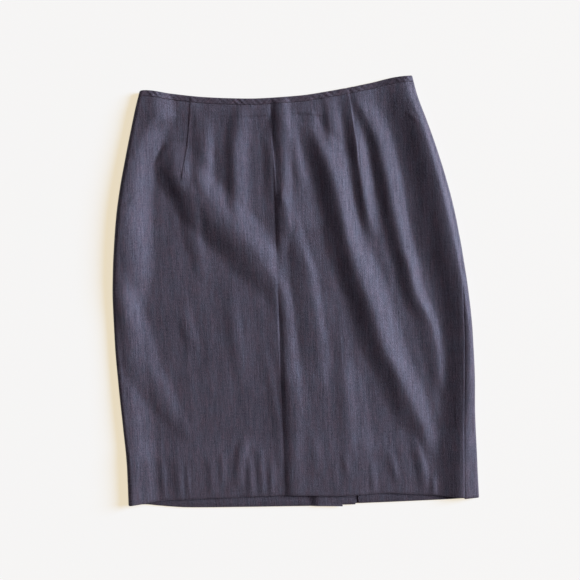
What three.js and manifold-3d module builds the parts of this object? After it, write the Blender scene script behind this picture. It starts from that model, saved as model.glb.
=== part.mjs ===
// A pencil skirt in woven suiting, laid flat on its back, face up.
// Millimetres. +X is the viewer's right, +Y runs from hem to waist, +Z is up from the floor,
// and the origin is on the floor under the middle of the outline.
import * as THREE from "three";
import { mergeVertices } from "three/addons/utils/BufferGeometryUtils.js";
import Module from "manifold-3d";

const wasm = await Module();
wasm.setup();

// Cloth and layers. Down the middle the front is FRONT_LONG from hem to waist.
const CLOTH = 1.1;
const GAP = 0.35;
const FRONT_LONG = 565;
const HEM_Y = -300;
const HEM_TURN = 48;
const BINDING_TALL = 9;
const BINDING_THICK = 2.4;
const BINDING_ROUND = 0.6;
const BINDING_PROUD = 0.35;
const BINDING_GAP = 0.5;
const BACK_WAIST_DROP = 1.5;

// The pressed line down the middle of the front, where its halves are measured from
const CREASE = -20;

// Vent at the back: the right half laps under the left half's turned facing
const VENT_TALL = 150;
const UNDERLAP_WIDE = 30;
const FACING_WIDE = 48;
const VENT_STEP = 18;

// Zip at the top of the centre back seam
const TAPE_WIDE = 24;
const TAPE_THICK = 1;
const TAPE_LONG = 165;
const SLIDER_WIDE = 5.6;
const SLIDER_LONG = 9;
const SLIDER_TALL = 2.4;
const PULL_WIDE = 4.4;
const PULL_LONG = 16;
const PULL_THICK = 1;
const PULL_FLOOR_GAP = 0.15;
const PULL_LIFT = PULL_FLOOR_GAP + PULL_THICK + GAP;

// How softly the front settles over what lies under it, as the width of its slope
const VENT_RAMP = 42;
const ZIP_RAMP = 26;
const HEM_RAMP = 36;
const WAIST_RAMP = 44;
const PULL_RAMP = 9;

// How far in from a side fold its roll is measured
const ROLL_INSET = 4;

// A smooth curve through points that never swings past them.
function smoothCurve(at, value) {
  const last = at.length - 1;
  const run = at.slice(1).map((x, i) => x - at[i]);
  const slope = run.map((step, i) => (value[i + 1] - value[i]) / step);
  const tangent = at.map((x, i) => {
    if (i === 0) return slope[0];
    if (i === last) return slope[last - 1];
    if (slope[i - 1] * slope[i] <= 0) return 0;
    const before = 2 * run[i] + run[i - 1];
    const after = run[i] + 2 * run[i - 1];
    return (before + after) / (before / slope[i - 1] + after / slope[i]);
  });
  return (x) => {
    let i = 0;
    while (i < last - 1 && x > at[i + 1]) i += 1;
    const t = Math.min(1, Math.max(0, (x - at[i]) / run[i]));
    const s = 1 - t;
    return (
      (1 + 2 * t) * s * s * value[i] +
      t * s * s * run[i] * tangent[i] +
      t * t * (3 - 2 * t) * value[i + 1] -
      t * t * s * run[i] * tangent[i + 1]
    );
  };
}

// Reads a table with named columns as smooth curves of its first column.
function curves(names, rows) {
  const sorted = [...rows].sort((a, b) => a[0] - b[0]);
  const at = sorted.map((row) => row[0]);
  const [, ...columns] = names.split(" ");
  const pairs = columns.map((name, i) => {
    const value = sorted.map((row) => row[i + 1]);
    return [name, smoothCurve(at, value)];
  });
  return { from: at[0], to: at[at.length - 1], ...Object.fromEntries(pairs) };
}

// The side folds, as seen from above.
const SIDES = curves("y left right", [
  [304, -203, 182],
  [280, -210.2, 187.2],
  [240, -220.2, 200.2],
  [200, -229.5, 212.8],
  [160, -238.2, 223.8],
  [120, -245, 233],
  [80, -249.5, 240],
  [40, -252.8, 245.2],
  [0, -254.5, 249.8],
  [-60, -253.8, 254],
  [-120, -250.8, 255],
  [-180, -246.5, 253.5],
  [-240, -242.8, 254],
  [-300, -242.5, 254.8],
]);

// Half the width of the front, from its pressed line to a side seam.
const FRONT_HALF = curves("y width", [
  [304, 206],
  [200, 239],
  [120, 255],
  [80, 259.5],
  [0, 262],
  [-60, 262],
  [-147, 259],
  [-200, 256.5],
  [-300, 253.5],
]);

// Centre back line, hidden above the vent.
const CENTRE_BACK = curves("y x", [
  [300, -3],
  [100, 2],
  [-300, 31],
]);

const WAIST_EDGE = curves("x y", [
  [-206, 296.5],
  [-200, 297],
  [-160, 291],
  [-120, 285.2],
  [-80, 281.8],
  [-40, 280],
  [20, 281.8],
  [60, 286.2],
  [120, 295.5],
  [160, 303],
  [184, 304.5],
]);

const FRONT_HEM = curves("x y", [
  [-243, -291],
  [-222, -289],
  [-200, -286.5],
  [-180, -286],
  [-20, -285],
  [60, -288.5],
  [120, -287],
  [160, -290],
  [200, -293],
  [235, -297],
  [256, -297.5],
]);

const BACK_HEM = curves("x y", [
  [-243, -291],
  [-220, -290.4],
  [-200, -292.8],
  [-160, -296.8],
  [-80, -299.2],
  [20, -301.5],
  [62, -303.2],
]);

const BACK_LEFT_HEM = curves("x y", [
  [28, -299],
  [80, -299.8],
  [200, -299],
  [256, -297.6],
]);

// Folds in the front, from waist to hem. Each runs along a crest x, and falls to nothing over
// its left and right width. A crest or foot of 1 is sharp and of 2 is round. A shelf stays at
// its crest's height all the way to the left side fold.
const FOLD_COLUMNS = "y x height left right";
const BIG_DIAGONAL = curves(FOLD_COLUMNS, [
  [270, 30, 0, 14, 20],
  [245, 32, 2.8, 18, 30],
  [215, 44, 6, 26, 32],
  [180, 56, 7.5, 30, 32],
  [140, 66, 8, 32, 30],
  [100, 77, 8, 34, 30],
  [60, 89, 8, 36, 34],
  [-20, 115, 8, 38, 40],
  [-60, 129, 8, 38, 38],
  [-100, 144, 7.5, 36, 36],
  [-140, 161, 6.5, 36, 30],
  [-180, 181, 5.5, 36, 22],
  [-210, 191, 3.5, 26, 16],
  [-235, 194, 0, 18, 12],
]);
const THIRD_DIAGONAL = curves(FOLD_COLUMNS, [
  [292, 100, 0, 12, 22],
  [270, 106, 2.6, 14, 30],
  [240, 122, 4.6, 18, 28],
  [205, 135, 5.4, 20, 26],
  [170, 143, 5.6, 20, 24],
  [90, 156, 5.4, 20, 20],
  [50, 164, 5.2, 20, 18],
  [10, 174, 5, 20, 16],
  [-25, 188, 4.6, 20, 14],
  [-60, 200, 4, 18, 14],
  [-95, 204, 3, 16, 12],
  [-125, 204, 0, 14, 10],
]);
const RIGHT_ROLL = curves(FOLD_COLUMNS, [
  [310, 168, 0.8, 20, 26],
  [292, 170, 2.4, 30, 26],
  [260, 182, 5, 34, 30],
  [220, 196, 7, 40, 34],
  [180, 205, 8, 40, 38],
  [130, 216, 8.5, 44, 36],
  [80, 226, 8.5, 44, 34],
  [40, 234, 8, 42, 32],
  [0, 240, 7.5, 38, 30],
  [-50, 245, 7, 36, 28],
  [-120, 246, 6.5, 34, 26],
  [-180, 240, 6, 36, 30],
  [-240, 238, 5, 42, 32],
  [-300, 238, 4, 40, 32],
]);
const FOLDS = [
  { crest: 1.15, foot: 2, line: BIG_DIAGONAL },
  { crest: 1.4, foot: 2, line: THIRD_DIAGONAL },
  { crest: 1.3, foot: 2, line: RIGHT_ROLL },
  {
    // The left side fold stands up, then falls away to the right.
    shelf: true,
    crest: 2,
    foot: 2,
    line: curves(FOLD_COLUMNS, [
      [310, -196, 1, 1, 24],
      [285, -194, 1.8, 1, 30],
      [265, -192, 3, 1, 44],
      [240, -208, 4.6, 1, 42],
      [210, -214, 5.4, 1, 36],
      [170, -222, 5.8, 1, 34],
      [130, -226, 5.8, 1, 34],
      [80, -228, 5.6, 1, 38],
      [30, -236, 5, 1, 46],
      [-60, -240, 4, 1, 44],
      [-110, -238, 3.6, 1, 30],
      [-180, -234, 3.4, 1, 26],
      [-300, -231, 2.2, 1, 24],
    ]),
  },
  {
    // A soft swell that runs down and in from the left side.
    crest: 2,
    foot: 2,
    line: curves(FOLD_COLUMNS, [
      [60, -238, 0, 14, 20],
      [25, -236, 1.6, 14, 24],
      [-20, -226, 3, 22, 26],
      [-60, -214, 4.4, 30, 32],
      [-100, -200, 4.8, 34, 34],
      [-130, -184, 4.2, 34, 34],
      [-165, -170, 3.2, 30, 26],
      [-205, -150, 0, 24, 22],
    ]),
  },
  {
    // The long drag line from the left hip to the middle.
    crest: 1.3,
    foot: 2,
    line: curves(FOLD_COLUMNS, [
      [222, -166, 0, 12, 22],
      [208, -166, 3, 18, 30],
      [190, -168, 5.2, 24, 34],
      [165, -156, 6.6, 28, 36],
      [140, -138, 6.6, 30, 38],
      [120, -120, 6.4, 30, 40],
      [100, -96, 6.4, 34, 40],
      [80, -72, 6.4, 36, 44],
      [60, -52, 6.2, 36, 36],
      [40, -36, 5.2, 32, 28],
      [20, -26, 3.4, 26, 22],
      [0, -18, 1.6, 20, 18],
      [-25, -10, 0, 14, 14],
    ]),
  },
  {
    crest: 2,
    foot: 2,
    line: curves(FOLD_COLUMNS, [
      [180, -166, 0, 12, 14],
      [150, -152, 1.8, 14, 22],
      [110, -138, 3.4, 18, 22],
      [80, -132, 3.4, 18, 20],
      [50, -128, 1.6, 18, 18],
      [20, -122, 0, 14, 16],
    ]),
  },
  {
    // Ease below the left dart.
    crest: 2,
    foot: 2,
    line: curves(FOLD_COLUMNS, [
      [262, -120, 0, 14, 14],
      [235, -118, 1.8, 16, 18],
      [200, -119, 2.8, 16, 16],
      [170, -120, 2.4, 16, 16],
      [140, -114, 0, 12, 16],
    ]),
  },
  {
    crest: 1.6,
    foot: 2,
    line: curves(FOLD_COLUMNS, [
      [275, -62, 0, 14, 10],
      [245, -68, 2.6, 16, 18],
      [200, -74, 4.2, 18, 20],
      [150, -74, 4, 16, 22],
      [115, -70, 1.5, 14, 20],
      [95, -66, 0, 14, 20],
    ]),
  },
  {
    // The pressed line: its left foot is the sharp valley.
    crest: 2,
    foot: 1,
    line: curves(FOLD_COLUMNS, [
      [285, -7, 0, 13, 10],
      [268, -6, 2.6, 14, 14],
      [235, -6, 3.4, 14, 16],
      [200, -5, 3.6, 15, 22],
      [165, -7, 3.6, 13, 26],
      [130, -7, 3.6, 13, 28],
      [100, -9, 3.2, 11, 24],
      [75, -11, 2.4, 9, 20],
      [55, -12, 0.8, 8, 16],
      [20, -12, 0.4, 8, 16],
      [-10, -10, 1.6, 10, 14],
      [-60, -9, 2.8, 11, 18],
      [-140, -8, 3.2, 12, 22],
      [-288, -8, 2.8, 12, 20],
    ]),
  },
  {
    crest: 2,
    foot: 2,
    line: curves(FOLD_COLUMNS, [
      [150, 12, 0, 12, 14],
      [110, 8, 1.2, 14, 18],
      [70, 12, 2.6, 18, 20],
      [30, 20, 3.4, 20, 20],
      [-10, 24, 3.6, 20, 22],
      [-50, 30, 3.4, 20, 22],
      [-90, 34, 2.2, 20, 22],
      [-125, 38, 0, 20, 20],
    ]),
  },
  {
    // The right dart lifts the cloth into a short ridge.
    crest: 1.3,
    foot: 2,
    line: curves(FOLD_COLUMNS, [
      [285, 97, 0, 12, 10],
      [265, 96, 2.4, 14, 12],
      [230, 98, 4.2, 15, 14],
      [195, 101, 5, 16, 15],
      [165, 104, 4.6, 16, 16],
      [135, 110, 4.2, 15, 16],
      [110, 116, 3.2, 14, 16],
      [90, 120, 1.4, 12, 14],
      [70, 124, 0, 12, 14],
    ]),
  },
];

function mix(a, b, t) {
  return a + (b - a) * t;
}

function smoothStep(t) {
  const s = Math.min(1, Math.max(0, t));
  return s * s * (3 - 2 * s);
}

// 1 between two values, falling smoothly to 0 over a ramp outside them.
function plateau(value, low, high, ramp) {
  const outside = Math.max(low - value, value - high, 0);
  return 1 - smoothStep(outside / ramp);
}

function foldHeight(fold, x, y) {
  const { line } = fold;
  if (y < line.from || y > line.to) return 0;
  const offset = x - line.x(y);
  if (fold.shelf && offset < 0) return line.height(y);
  const width = offset < 0 ? line.left(y) : line.right(y);
  const share = Math.min(1, Math.abs(offset) / width);
  const foot = offset < 0 ? fold.foot : 2;
  return line.height(y) * (1 - share ** fold.crest) ** foot;
}

const VENT_TOP = HEM_Y + VENT_TALL;
const ZIP_TOP = WAIST_EDGE.y(-3) - BACK_WAIST_DROP - BINDING_TALL - GAP;
const SLIDER_Y = [ZIP_TOP - GAP - SLIDER_LONG, ZIP_TOP - GAP];
const TAPE_Y = [ZIP_TOP - TAPE_LONG, SLIDER_Y[0] - GAP];
const PULL_Y = [SLIDER_Y[1] - 1 - PULL_LONG, SLIDER_Y[1] - 1];
const LAPPED = 2 * CLOTH + 2 * GAP;
const BELOW_HEM = HEM_Y - 20;
const ABOVE_WAIST = HEM_Y + FRONT_LONG + 100;

// How far the back is lifted off the floor over the zip's pull tab.
function pullLift(x, y, ramp) {
  const centre = CENTRE_BACK.x(y);
  const half = PULL_WIDE / 2 + 1;
  const across = plateau(x, centre - half, centre + half, ramp);
  return PULL_LIFT * across * plateau(y, PULL_Y[0] - 1, ZIP_TOP, ramp);
}

// The front's outer face with no folds in it: the layers below set how high it lies.
function frontRest(x, y) {
  const centre = CENTRE_BACK.x(y);
  const vent =
    plateau(x, centre - VENT_STEP, centre + FACING_WIDE, VENT_RAMP) *
    plateau(y, BELOW_HEM, VENT_TOP + VENT_STEP, VENT_RAMP);
  const zip =
    plateau(x, centre - TAPE_WIDE / 2, centre + TAPE_WIDE / 2, ZIP_RAMP) *
    plateau(y, TAPE_Y[0], ZIP_TOP, ZIP_RAMP);
  const hem = plateau(y, BELOW_HEM, HEM_Y + 1.4 * HEM_TURN, HEM_RAMP);
  const back = CLOTH * (1 + hem * (1 - vent)) + vent * LAPPED + zip * (TAPE_THICK + GAP);
  const layers = back + pullLift(x, y, ZIP_RAMP) + GAP + CLOTH * (1 + hem);
  const bound = 2 * BINDING_THICK + GAP - BINDING_PROUD;
  const waist = plateau(y, WAIST_EDGE.y(x) - BINDING_TALL - 1, ABOVE_WAIST, WAIST_RAMP);
  return Math.max(layers, mix(2 * CLOTH + GAP, bound, waist));
}

function frontTop(x, y) {
  return FOLDS.reduce((z, fold) => z + foldHeight(fold, x, y), frontRest(x, y));
}

// Where a side fold is at a height y, measured from the pressed line, and how big its roll is.
function sideFold(side, y, proud = 0) {
  const edge = side < 0 ? SIDES.left(y) : SIDES.right(y);
  const roll = (frontTop(edge - side * ROLL_INSET, y) + proud) / 2;
  return { edge, roll, reach: side * (edge - CREASE) };
}

// The outer face of the flattened tube. Across is the way round from the pressed line,
// positive to the right; past a side fold it runs back underneath.
function tubePoint(across, y, proud = 0) {
  const side = across < 0 ? -1 : 1;
  const { edge, roll, reach } = sideFold(side, y, proud);
  const beyond = Math.abs(across) - reach;
  if (beyond <= -roll) {
    const x = CREASE + across;
    return new THREE.Vector3(x, y, frontTop(x, y) + proud);
  }
  if (beyond >= roll) {
    const x = edge - side * beyond;
    return new THREE.Vector3(x, y, pullLift(x, y, PULL_RAMP));
  }
  const turn = (beyond / roll) * (Math.PI / 2);
  const x = edge - side * roll * (1 - Math.cos(turn));
  return new THREE.Vector3(x, y, roll * (1 - Math.sin(turn)));
}

// The way round to a place on the underside.
function acrossUnder(side, x, y) {
  const { edge, reach } = sideFold(side, y);
  return side * (reach + side * (edge - x));
}

// Values from one knot to the next, in equal steps.
function spread(knots, steps) {
  const values = [knots[0]];
  steps.forEach((count, i) => {
    for (let k = 1; k <= count; k += 1) values.push(mix(knots[i], knots[i + 1], k / count));
  });
  return values;
}

// Rows as shares of the way from hem to waist, with a step where the turned-up hem ends. The
// back has closer rows over the zip's pull tab.
const TURN_SHARE = HEM_TURN / FRONT_LONG;
const TURN_STEP = 1 / FRONT_LONG;
const FRONT_ROWS = [
  ...spread([0, TURN_SHARE], [3]),
  ...spread([TURN_SHARE + TURN_STEP, 1], [26]),
];
const BELOW_PULL = (PULL_Y[0] - PULL_RAMP - HEM_Y) / FRONT_LONG;
const PULL_SHARE = FRONT_ROWS.filter((share) => share < BELOW_PULL).pop();
const BACK_ROWS = [
  ...FRONT_ROWS.filter((share) => share < PULL_SHARE),
  ...spread([PULL_SHARE, 1], [9]),
];

// A point on a cloth's outer face, with the way out of the cloth there.
const NORMAL_STEP = 0.5;
function withNormal(pointAt, across, y) {
  const step = NORMAL_STEP;
  const along = pointAt(across + step, y).sub(pointAt(across - step, y));
  const up = pointAt(across, y + step).sub(pointAt(across, y - step));
  return { point: pointAt(across, y), normal: along.cross(up).normalize() };
}

// A grid of points on the outer face, each row a share of the way from hem to waist.
// The columns are ways round the tube, worked out again for each height.
function clothGrid(rows, columnsAt, pointAt, hemEdge) {
  const count = columnsAt(0).length;
  return rows.map((share) =>
    Array.from({ length: count }, (unused, i) => {
      let y = mix(HEM_Y, WAIST_EDGE.y(0), share);
      for (let pass = 0; pass < 5; pass += 1) {
        const point = pointAt(columnsAt(y)[i], y);
        y = mix(hemEdge(point), panelTopEdge(point), share);
      }
      return withNormal(pointAt, columnsAt(y)[i], y);
    }),
  );
}

// A closed wall of cloth on a grid of outer points, its thickness inwards.
// Cells for which keep says no are left out.
function clothWall(grid, thickness, keep = () => true) {
  const wide = grid[0].length;
  const number = (i, j) => j * wide + i;
  const outer = grid.flat().map((place) => place.point);
  const inner = grid.flatMap((row, j) =>
    row.map(({ point, normal }, i) => point.clone().addScaledVector(normal, -thickness(i, j))),
  );
  const faces = [];
  for (let j = 0; j < grid.length - 1; j += 1) {
    for (let i = 0; i < wide - 1; i += 1) {
      if (!keep(i, j)) continue;
      const [a, b, c, d] = [number(i, j), number(i + 1, j), number(i + 1, j + 1), number(i, j + 1)];
      const first = outer[a].distanceTo(outer[c]) < outer[b].distanceTo(outer[d]);
      faces.push(...(first ? [[a, b, c], [a, c, d]] : [[a, b, d], [b, c, d]]));
    }
  }
  const edges = new Set();
  for (const face of faces) {
    for (let k = 0; k < 3; k += 1) edges.add(`${face[k]} ${face[(k + 1) % 3]}`);
  }
  const shift = outer.length;
  const walls = faces.map(([a, b, c]) => [a + shift, c + shift, b + shift]);
  for (const edge of edges) {
    const [p, q] = edge.split(" ").map(Number);
    if (edges.has(`${q} ${p}`)) continue;
    walls.push([q, p, p + shift], [q, p + shift, q + shift]);
  }
  return solid([...outer, ...inner], [...faces, ...walls]);
}

// A geometry of the points that its triangles use.
function solid(points, triangles) {
  const used = new Map();
  const kept = [];
  const index = triangles.flat().map((k) => {
    if (!used.has(k)) {
      used.set(k, kept.length);
      kept.push(points[k]);
    }
    return used.get(k);
  });
  const geometry = new THREE.BufferGeometry().setFromPoints(kept);
  geometry.setIndex(index);
  return geometry;
}

// Cuts one geometry out of another.
function cut(geometry, tool) {
  const [body, cutter] = [geometry, tool].map((source) => {
    const bare = source.clone();
    bare.deleteAttribute("normal");
    bare.deleteAttribute("uv");
    const { index, attributes } = mergeVertices(bare);
    const triVerts = new Uint32Array(index.array);
    return new wasm.Manifold(
      new wasm.Mesh({ numProp: 3, vertProperties: attributes.position.array, triVerts }),
    );
  });
  const { vertProperties, triVerts } = body.subtract(cutter).getMesh();
  const result = new THREE.BufferGeometry();
  result.setAttribute("position", new THREE.BufferAttribute(vertProperties, 3));
  result.setIndex(new THREE.BufferAttribute(triVerts, 1));
  return result;
}

// 1 on the underside, 0 on the top side, changing over in the side folds.
function underShare(point) {
  return 1 - smoothStep(point.z - PULL_LIFT);
}

function bindingTop(point) {
  return WAIST_EDGE.y(point.x) - BACK_WAIST_DROP * underShare(point);
}

function panelTopEdge(point) {
  return bindingTop(point) - BINDING_TALL - BINDING_GAP;
}

function hemThickness(j) {
  return FRONT_ROWS[j] <= TURN_SHARE ? 2 * CLOTH : CLOTH;
}

// Front panel, from the left side seam underneath to the right side seam. Its columns run
// along the pressed line, the side folds and the crests of the three long folds on the right.
const SEAM_STRIP = 6;
const LEAST_COLUMN = 3;
const FRONT_STEPS = [2, 5, 25, 11, 8, 6, 1, 4];
function frontColumns(y) {
  const half = FRONT_HALF.width(y);
  const left = sideFold(-1, y);
  const right = sideFold(1, y);
  const leftRoll = [-left.reach - left.roll, left.roll - left.reach];
  const rightRoll = Math.min(half - SEAM_STRIP, right.reach - right.roll);
  const roll = Math.min(RIGHT_ROLL.x(y) - CREASE, rightRoll - LEAST_COLUMN);
  const third = Math.min(THIRD_DIAGONAL.x(y) - CREASE, roll - 5 * LEAST_COLUMN);
  const big = Math.min(BIG_DIAGONAL.x(y) - CREASE, third - 3 * LEAST_COLUMN);
  return spread([-half, ...leftRoll, 0, big, third, roll, rightRoll, half], FRONT_STEPS);
}

function frontPanel() {
  const hem = (point) => mix(FRONT_HEM.y(point.x), BACK_HEM.y(point.x), underShare(point));
  const grid = clothGrid(FRONT_ROWS, frontColumns, tubePoint, hem);
  return clothWall(grid, (i, j) => hemThickness(j));
}

function isVentRow(j) {
  return HEM_Y + FRONT_LONG * BACK_ROWS[j + 1] < VENT_TOP;
}

// Leaves room for the zip's slider between the two halves of the back.
function notched(geometry) {
  const [low, high] = SLIDER_Y;
  const tall = high - low + GAP + BINDING_TALL;
  const room = new THREE.BoxGeometry(SLIDER_WIDE + 2 * GAP, tall, 4 * LAPPED);
  room.translate(CENTRE_BACK.x(low), low - GAP + tall / 2, 0);
  return cut(geometry, room);
}

// Back, the wearer's right half. Below the vent's top its centre edge steps up and runs on as
// the underlap. Its columns go from the underlap's edge out to the left side seam.
const RIGHT_BACK_STEPS = [2, 3, 5];
function rightBackColumns(y) {
  const centre = CENTRE_BACK.x(y) - GAP / 2;
  const stops = [centre + UNDERLAP_WIDE, centre, centre - VENT_STEP];
  const knots = stops.map((x) => acrossUnder(-1, x, y));
  return spread([...knots, -FRONT_HALF.width(y) - GAP], RIGHT_BACK_STEPS);
}

function rightBackPoint(across, y) {
  const point = tubePoint(across, y);
  const step = smoothStep((point.x - CENTRE_BACK.x(y) + VENT_STEP) / (VENT_STEP - 3));
  point.z += LAPPED * step * plateau(y, BELOW_HEM, VENT_TOP, VENT_STEP);
  return point;
}

function backPanelRight() {
  const [underlap, stepped] = RIGHT_BACK_STEPS;
  const hem = (point) => BACK_HEM.y(point.x);
  const grid = clothGrid(BACK_ROWS, rightBackColumns, rightBackPoint, hem);
  const thickness = (i, j) => (i > underlap + stepped ? hemThickness(j) : CLOTH);
  return notched(clothWall(grid, thickness, (i, j) => i >= underlap || isVentRow(j)));
}

// Back, the wearer's left half, from the right side seam over the right side fold to the
// centre back. Below the vent's top it turns back on itself there as the facing.
const LEFT_BACK_STEPS = [4, 5, 8, 4, 2];
const TURN_ROLL = CLOTH + GAP / 2;
const TURN_WAY = Math.PI * TURN_ROLL;
function leftBackColumns(y) {
  const seam = FRONT_HALF.width(y) + GAP;
  const { reach, roll } = sideFold(1, y);
  const edge = CENTRE_BACK.x(y) + GAP / 2;
  const centre = acrossUnder(1, edge, y);
  const behindFacing = acrossUnder(1, edge + FACING_WIDE, y);
  const rolled = Math.max(seam + SEAM_STRIP, reach + roll);
  const knots = [seam, rolled, behindFacing, centre, centre + TURN_WAY];
  return spread([...knots, centre + TURN_WAY + FACING_WIDE], LEFT_BACK_STEPS);
}

function leftBackPoint(across, y) {
  const edge = CENTRE_BACK.x(y) + GAP / 2;
  const past = across - acrossUnder(1, edge, y);
  if (past <= 0) return tubePoint(across, y);
  const lift = pullLift(edge, y, PULL_RAMP);
  if (past >= TURN_WAY) return new THREE.Vector3(edge + past - TURN_WAY, y, lift + 2 * TURN_ROLL);
  const angle = past / TURN_ROLL;
  const x = edge - TURN_ROLL * Math.sin(angle);
  return new THREE.Vector3(x, y, lift + TURN_ROLL * (1 - Math.cos(angle)));
}

function backPanelLeft() {
  const [wrap, plain, behind] = LEFT_BACK_STEPS;
  const hem = (point) => BACK_LEFT_HEM.y(point.x);
  const grid = clothGrid(BACK_ROWS, leftBackColumns, leftBackPoint, hem);
  const thickness = (i, j) => (i < wrap + plain ? hemThickness(j) : CLOTH);
  return notched(clothWall(grid, thickness, (i, j) => i < wrap + plain + behind || isVentRow(j)));
}

// Waist binding: one doubled strip all the way round, from centre back to centre back.
// Its section is height up the strip by depth into it.
const BINDING_SECTION = [
  [BINDING_ROUND, 0],
  [BINDING_TALL - BINDING_ROUND, 0],
  [BINDING_TALL, BINDING_ROUND],
  [BINDING_TALL, BINDING_THICK - BINDING_ROUND],
  [BINDING_TALL - BINDING_ROUND, BINDING_THICK],
  [BINDING_ROUND, BINDING_THICK],
  [0, BINDING_THICK - BINDING_ROUND],
  [0, BINDING_ROUND],
];
function bindingPoint(across, y) {
  const point = tubePoint(across, y, BINDING_PROUD);
  const { reach, roll } = sideFold(across < 0 ? -1 : 1, y, BINDING_PROUD);
  return Math.abs(across) > reach + roll ? point.setZ(0) : point;
}

function waistBinding() {
  const y = WAIST_EDGE.y(0) - BINDING_TALL / 2;
  const [underlap] = RIGHT_BACK_STEPS;
  const [wrap, plain, behind] = LEFT_BACK_STEPS;
  const columns = [
    ...rightBackColumns(y).slice(underlap, -1),
    ...frontColumns(y),
    ...leftBackColumns(y).slice(1, wrap + plain + behind + 1),
  ];
  const rings = columns.map((across) =>
    BINDING_SECTION.map(([up, depth]) => {
      let height = y;
      for (let pass = 0; pass < 5; pass += 1) {
        height = bindingTop(bindingPoint(across, height)) - BINDING_TALL + up;
      }
      const { point, normal } = withNormal(bindingPoint, across, height);
      return point.addScaledVector(normal, -depth);
    }),
  );
  return loft(rings);
}

// A closed solid through rings of points, with flat ends.
function loft(rings) {
  const round = rings[0].length;
  const triangles = [];
  for (let i = 0; i < rings.length - 1; i += 1) {
    for (let k = 0; k < round; k += 1) {
      const [a, b] = [i * round + k, i * round + ((k + 1) % round)];
      triangles.push([a, a + round, b], [b, a + round, b + round]);
    }
  }
  const end = (rings.length - 1) * round;
  for (let k = 1; k < round - 1; k += 1) {
    triangles.push([0, k, k + 1], [end, end + k + 1, end + k]);
  }
  return solid(rings.flat(), triangles);
}

// Zip tape, closed, against the inside of the back over the centre back seam.
function zipTape() {
  const offsets = spread([TAPE_WIDE / 2, -TAPE_WIDE / 2], [4]);
  const heights = spread([TAPE_Y[0], PULL_Y[0] - 2 * PULL_RAMP, TAPE_Y[1]], [4, 6]);
  const place = (offset, y) => {
    const x = CENTRE_BACK.x(y) - offset;
    return new THREE.Vector3(x, y, pullLift(x, y, PULL_RAMP) + CLOTH + GAP);
  };
  const grid = heights.map((y) => offsets.map((offset) => withNormal(place, -offset, y)));
  return clothWall(grid, () => TAPE_THICK);
}

// A flat piece cut to an outline, its underside at a height.
function plate(outline, thick, x, y, z) {
  const geometry = new THREE.ExtrudeGeometry(outline, {
    depth: thick,
    bevelEnabled: false,
    curveSegments: 6,
  });
  return geometry.translate(x, y, z);
}

// Slider: a small shield, wider at the top where the chain opens.
function zipSlider() {
  const [low, high] = SLIDER_Y;
  const half = SLIDER_WIDE / 2;
  const foot = half * 0.7;
  const corner = 1;
  const outline = new THREE.Shape();
  outline.moveTo(-foot, 0);
  outline.lineTo(foot, 0);
  outline.quadraticCurveTo(half, SLIDER_LONG * 0.4, half, SLIDER_LONG - corner);
  outline.quadraticCurveTo(half, SLIDER_LONG, half - corner, SLIDER_LONG);
  outline.lineTo(corner - half, SLIDER_LONG);
  outline.quadraticCurveTo(-half, SLIDER_LONG, -half, SLIDER_LONG - corner);
  outline.quadraticCurveTo(-half, SLIDER_LONG * 0.4, -foot, 0);
  return plate(outline, SLIDER_TALL, CENTRE_BACK.x((low + high) / 2), low, PULL_LIFT);
}

// Pull tab: a thin drop with a hole, hung at its narrow end from the slider.
function zipPull() {
  const half = PULL_WIDE / 2;
  const neck = half * 0.55;
  const outline = new THREE.Shape();
  outline.moveTo(-neck, PULL_LONG);
  outline.lineTo(-half, half);
  outline.absarc(0, half, half, Math.PI, 2 * Math.PI, false);
  outline.lineTo(neck, PULL_LONG);
  outline.closePath();
  const hole = new THREE.Path();
  hole.absarc(0, half, half / 2, 0, 2 * Math.PI, true);
  outline.holes.push(hole);
  return plate(outline, PULL_THICK, CENTRE_BACK.x(PULL_Y[1]), PULL_Y[0], PULL_FLOOR_GAP);
}

const SUITING = { color: 0x4c4955, roughness: 0.75, metalness: 0 };
const TAPE = { color: 0x33303a, roughness: 0.85, metalness: 0 };
const METAL = { color: 0x3f3d42, roughness: 0.35, metalness: 1 };

const skirt = new THREE.Group();
function add(name, geometry, finish) {
  const mesh = new THREE.Mesh(geometry, new THREE.MeshStandardMaterial(finish));
  mesh.name = name;
  geometry.computeVertexNormals();
  skirt.add(mesh);
}
add("front_panel", frontPanel(), SUITING);
add("back_panel_right", backPanelRight(), SUITING);
add("back_panel_left", backPanelLeft(), SUITING);
add("waist_binding", waistBinding(), SUITING);
add("zip_tape", zipTape(), TAPE);
add("zip_slider", zipSlider(), METAL);
add("zip_pull", zipPull(), METAL);

// The tables are measured from the pressed line's frame; the origin is the outline's middle.
const middle = new THREE.Box3().setFromObject(skirt).getCenter(new THREE.Vector3());
skirt.position.set(-middle.x, -middle.y, 0);

export default skirt;
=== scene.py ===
"""A pencil skirt in charcoal, violet-grey woven suiting, laid flat on its back, face up.

Sizes are in millimetres and are turned to metres as each mesh is made. The tables are measured
in the pattern's own frame: x to the viewer's right, y from hem to waist, z up from the floor.
"""

import math
from types import SimpleNamespace

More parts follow.
